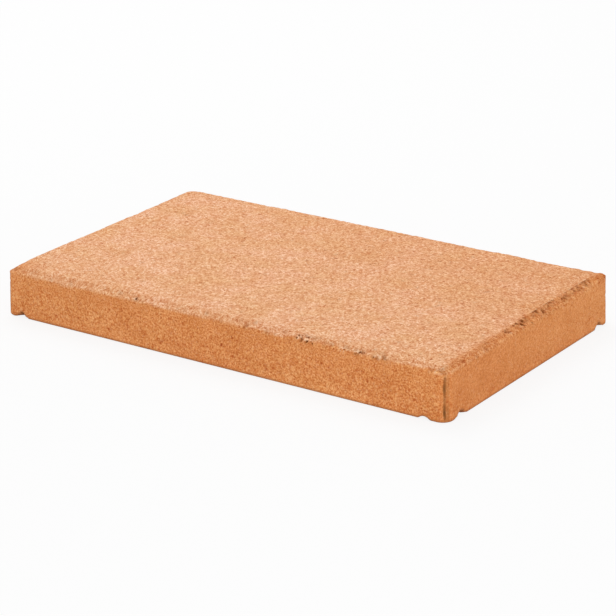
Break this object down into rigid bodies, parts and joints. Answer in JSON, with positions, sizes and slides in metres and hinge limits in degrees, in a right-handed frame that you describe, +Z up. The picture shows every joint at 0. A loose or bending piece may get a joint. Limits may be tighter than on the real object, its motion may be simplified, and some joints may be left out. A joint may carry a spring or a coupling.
{
  "type": "pillar cap",
  "caption": "Flat rectangular pillar cap of terracotta-coloured cast concrete, with a bevelled top edge, slightly leaning sides and drip grooves underneath.",
  "frame": {"origin": "centre of the underside, on the plane that the cap is bedded on", "axes": "+X along the long side, +Y along the short side, +Z up through the thickness to the weathered top face"},
  "size_m": [0.5, 0.3, 0.05],
  "materials": {
    "coloured_concrete": "matte"
  },
  "bodies": {
    "root": {"pillar_cap": "coloured_concrete"}
  },
  "joints": []
}
